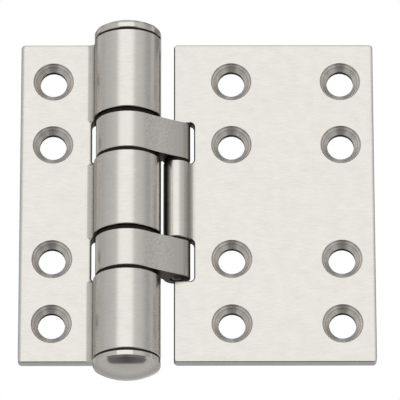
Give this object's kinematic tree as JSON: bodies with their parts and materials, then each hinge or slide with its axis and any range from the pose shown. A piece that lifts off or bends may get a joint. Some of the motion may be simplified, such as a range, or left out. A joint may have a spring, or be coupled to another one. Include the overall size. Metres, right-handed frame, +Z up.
{
  "type": "double-pivot butt hinge",
  "caption": "Heavy screw-on hinge, open flat: a narrow and a wide leaf joined by two short links that turn on a main pin and on a thinner second pin.",
  "frame": {"origin": "on the back (mounting) face of the wide leaf, in the middle of its eight screw holes", "axes": "+Z up along both pins; +X from the narrow leaf towards the wide leaf; +Y out of the mounting face, away from the viewer of the screw heads"},
  "size_m": [0.1044, 0.0198, 0.1116],
  "materials": {
    "leaf_steel": "fine satin brushing",
    "link_steel": "satin, slightly darker",
    "cap_steel": "turned, fine satin",
    "pin_steel": "ground",
    "bush_polymer": "matte, near black",
    "seal_rubber": "matte, near black"
  },
  "bodies": {
    "wide_side": {"wide_leaf": "leaf_steel", "small_knuckle_top_bush": "bush_polymer", "small_knuckle_bottom_bush": "bush_polymer"},
    "links": {"upper_link": "link_steel", "lower_link": "link_steel", "link_pin": "pin_steel", "upper_link_top_bush": "bush_polymer", "upper_link_bottom_bush": "bush_polymer", "lower_link_top_bush": "bush_polymer", "lower_link_bottom_bush": "bush_polymer"},
    "narrow_side": {"narrow_leaf": "leaf_steel", "main_pin": "pin_steel", "top_cap": "cap_steel", "bottom_cap": "cap_steel", "top_cap_seal": "seal_rubber", "bottom_cap_seal": "seal_rubber"}
  },
  "joints": [
    {"name": "link_swing", "type": "hinge", "parent": "wide_side", "child": "links", "pos_m": [-0.03229, -0.0028, 0], "axis": [0, 0, 1], "range_deg": [-90, 30]},
    {"name": "narrow_leaf_swing", "type": "hinge", "parent": "links", "child": "narrow_side", "pos_m": [-0.04678, -0.0058, 0], "axis": [0, 0, 1], "range_deg": [-90, 165]}
  ]
}
